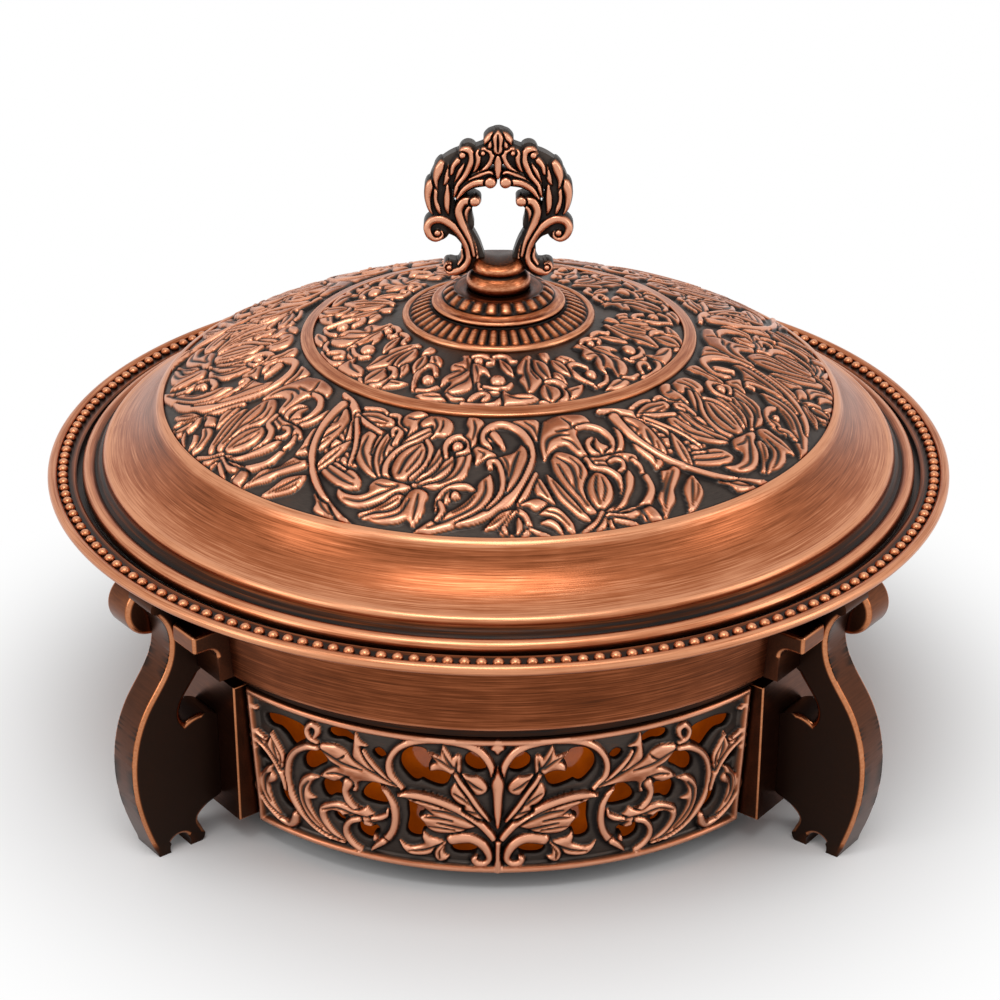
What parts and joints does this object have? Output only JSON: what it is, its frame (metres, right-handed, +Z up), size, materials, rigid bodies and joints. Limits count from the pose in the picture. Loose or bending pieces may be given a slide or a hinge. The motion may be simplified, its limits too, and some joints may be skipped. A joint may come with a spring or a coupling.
{
  "type": "covered serving dish on a heated stand",
  "caption": "Round covered serving dish on a pierced stand with carved legs with a spirit burner, a hot-water dish, a lift-out food pan and a domed lid with a wreath handle.",
  "frame": {"origin": "on the floor, under the middle of the dish", "axes": "+Z up, the front of the handle faces -Y"},
  "size_m": [0.4, 0.4, 0.2864],
  "materials": {
    "antique_copper": "turned and brushed copper sheet, antiqued dark in the hollows",
    "cast_copper": "cast and carved, darkened, with rubbed bright copper edges",
    "steel": "plain satin steel",
    "amber_glass": "amber glass, glossy",
    "wick_fibre": "loose mineral fibre"
  },
  "bodies": {
    "stand": {"band_collar": "antique_copper", "neck_ring": "antique_copper", "gallery_panel_front": "cast_copper", "gallery_panel_right": "cast_copper", "gallery_panel_rear": "cast_copper", "gallery_panel_left": "cast_copper", "glass_liner": "amber_glass", "burner_shelf": "steel", "burner_seat_ring": "steel", "leg_front_left": "cast_copper", "leg_front_right": "cast_copper", "leg_rear_left": "cast_copper", "leg_rear_right": "cast_copper", "mounting_block_front_left": "cast_copper", "mounting_block_front_right": "cast_copper", "mounting_block_rear_left": "cast_copper", "mounting_block_rear_right": "cast_copper", "bracket_front_left": "cast_copper", "bracket_front_right": "cast_copper", "bracket_rear_left": "cast_copper", "bracket_rear_right": "cast_copper", "scroll_roll_front_left": "cast_copper", "scroll_roll_front_right": "cast_copper", "scroll_roll_rear_left": "cast_copper", "scroll_roll_rear_right": "cast_copper", "leg_screws": "steel", "block_screws": "steel"},
    "burner": {"burner_cup": "steel", "burner_top_plate": "steel", "wick_pad": "wick_fibre", "snuffer_pivot": "steel"},
    "snuffer": {"snuffer": "steel"},
    "dish": {"dish_body": "antique_copper", "bead_ring": "antique_copper"},
    "food_pan": {"food_pan": "steel"},
    "lid": {"lid_shell": "antique_copper", "lid_trim_ring": "antique_copper", "lid_locating_ring": "steel", "rosette_plate": "antique_copper", "rosette_cup": "antique_copper", "handle_neck": "cast_copper", "handle_wreath": "cast_copper", "handle_stud": "steel", "stud_washer": "steel", "stud_nut": "steel"}
  },
  "joints": [
    {"name": "dish_lift", "type": "slide", "parent": "stand", "child": "dish", "axis": [0, 0, 1], "range_m": [0, 0.12]},
    {"name": "pan_lift", "type": "slide", "parent": "dish", "child": "food_pan", "axis": [0, 0, 1], "range_m": [0, 0.1]},
    {"name": "lid_lift", "type": "slide", "parent": "food_pan", "child": "lid", "axis": [0, 0, 1], "range_m": [0, 0.15]},
    {"name": "burner_lift", "type": "slide", "parent": "stand", "child": "burner", "axis": [0, 0, 1], "range_m": [0, 0.015]},
    {"name": "snuffer_swing", "type": "hinge", "parent": "burner", "child": "snuffer", "pos_m": [0.026, 0, 0.042], "axis": [0, 0, 1], "range_deg": [0, 100]}
  ]
}
